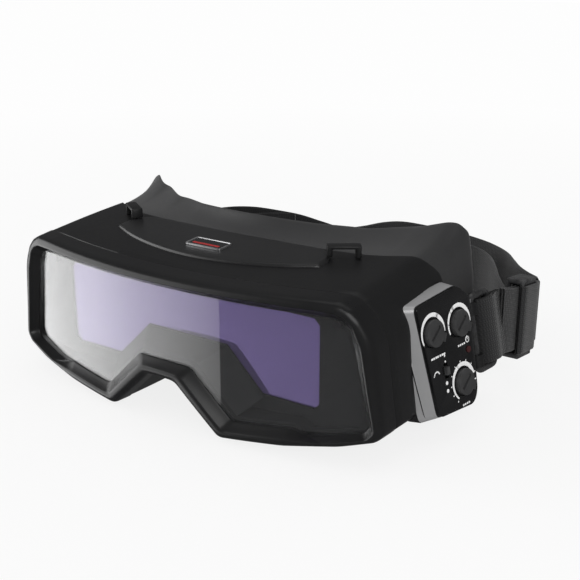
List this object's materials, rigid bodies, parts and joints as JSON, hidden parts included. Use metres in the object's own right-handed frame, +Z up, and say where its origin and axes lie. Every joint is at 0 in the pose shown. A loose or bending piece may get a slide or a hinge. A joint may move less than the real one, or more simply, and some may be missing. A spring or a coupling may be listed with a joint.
{
  "type": "welding goggles",
  "caption": "Auto-darkening welding goggles with a wraparound shell, violet filter window, side control pod with dials, soft face seal and elastic head strap.",
  "frame": {"origin": "middle of the bounding box at the level of the surface the goggles stand on", "axes": "+X to the wearer's left, +Y from the front window back towards the head strap, +Z up"},
  "size_m": [0.2088, 0.1896, 0.0737],
  "materials": {
    "satin_black": "satin moulded nylon",
    "bezel_black": "satin moulded nylon",
    "crown_black": "fine moulded texture",
    "clear_cover": "clear hard-coated polycarbonate",
    "violet_filter": "mirror-like violet interference coating",
    "dark_cell": "liquid-crystal cell",
    "soft_seal": "soft satin thermoplastic rubber",
    "gasket_rubber": "soft",
    "gloss_black": "polished",
    "knob_grey": "satin",
    "pot_black": "matt",
    "board_green": "solder mask",
    "ribbon_tan": "polyimide film",
    "lamp_lens": "diffusing",
    "sensor_glass": "dark infrared window",
    "cell_steel": "bright",
    "badge_metal": "brushed",
    "ring_black": "semi-gloss acetal",
    "webbing": "woven elastic"
  },
  "bodies": {
    "root": {"arc_sensor_left": "sensor_glass", "arc_sensor_right": "sensor_glass", "badge_plate": "badge_metal", "battery_pod_base": "satin_black", "battery_tray": "satin_black", "cartridge_frame": "satin_black", "circuit_board": "board_green", "coin_cell": "cell_steel", "control_pod_base": "satin_black", "control_pod_face": "gloss_black", "cover_lens": "clear_cover", "crown_panel": "crown_black", "face_seal": "soft_seal", "filter_glass": "violet_filter", "filter_housing": "satin_black", "frame_screws": "cell_steel", "front_bezel": "bezel_black", "front_shell": "satin_black", "hood_loop_left": "satin_black", "hood_loop_right": "satin_black", "inner_cover_lens": "clear_cover", "lcd_cell_front": "dark_cell", "lcd_cell_rear": "dark_cell", "lens_gasket": "gasket_rubber", "low_battery_lamp": "lamp_lens", "potentiometer_delay": "pot_black", "potentiometer_sensitivity": "pot_black", "potentiometer_shade": "pot_black", "ribbon_cable": "ribbon_tan", "seal_carrier": "satin_black", "strap_anchor_left": "satin_black", "strap_anchor_right": "satin_black", "strap_rear": "webbing", "strap_side_left": "webbing", "strap_side_right": "webbing", "strap_tail_left": "webbing", "strap_tail_right": "webbing", "switch_body": "pot_black"},
    "battery_cover": {"battery_door": "gloss_black"},
    "delay_knob": {"knob_delay": "knob_grey"},
    "sensitivity_knob": {"knob_sensitivity": "knob_grey"},
    "shade_knob": {"knob_shade": "knob_grey"},
    "range_slider": {"range_switch": "knob_grey"},
    "ring_left": {"strap_loop_left": "webbing", "strap_ring_left": "ring_black"},
    "ring_right": {"strap_loop_right": "webbing", "strap_ring_right": "ring_black"},
    "slider_left": {"strap_slider_left": "ring_black"},
    "slider_right": {"strap_slider_right": "ring_black"}
  },
  "joints": [
    {"name": "sensitivity_turn", "type": "hinge", "parent": "root", "child": "sensitivity_knob", "pos_m": [0.09345, -0.04636, 0.04457], "axis": [0.9672, -0.1359, 0.2147], "range_deg": [-12, 258]},
    {"name": "delay_turn", "type": "hinge", "parent": "root", "child": "delay_knob", "pos_m": [0.09596, -0.02944, 0.04399], "axis": [0.9672, -0.1359, 0.2147], "range_deg": [-12, 258]},
    {"name": "shade_turn", "type": "hinge", "parent": "root", "child": "shade_knob", "pos_m": [0.10057, -0.032, 0.02162], "axis": [0.9672, -0.1359, 0.2147], "range_deg": [-12, 258]},
    {"name": "range_slide", "type": "slide", "parent": "root", "child": "range_slider", "axis": [-0.2126, 0.0299, 0.9767], "range_m": [-0.0012, 0.0012]},
    {"name": "battery_cover_slide", "type": "slide", "parent": "root", "child": "battery_cover", "axis": [0.2126, 0.0299, 0.9767], "range_m": [0, 0.022]},
    {"name": "ring_left_swing", "type": "hinge", "parent": "root", "child": "ring_left", "pos_m": [0.09652, -0.01578, 0.03427], "axis": [-0.2126, 0.0299, 0.9767], "range_deg": [-30, 12]},
    {"name": "ring_right_swing", "type": "hinge", "parent": "root", "child": "ring_right", "pos_m": [-0.09652, -0.01578, 0.03427], "axis": [0.2126, 0.0299, 0.9767], "range_deg": [-12, 30]},
    {"name": "slider_left_travel", "type": "slide", "parent": "root", "child": "slider_left", "axis": [0, 0.9889, -0.1483], "range_m": [-0.007, 0.009]},
    {"name": "slider_right_travel", "type": "slide", "parent": "root", "child": "slider_right", "axis": [0, 0.9889, -0.1483], "range_m": [-0.007, 0.009]}
  ]
}
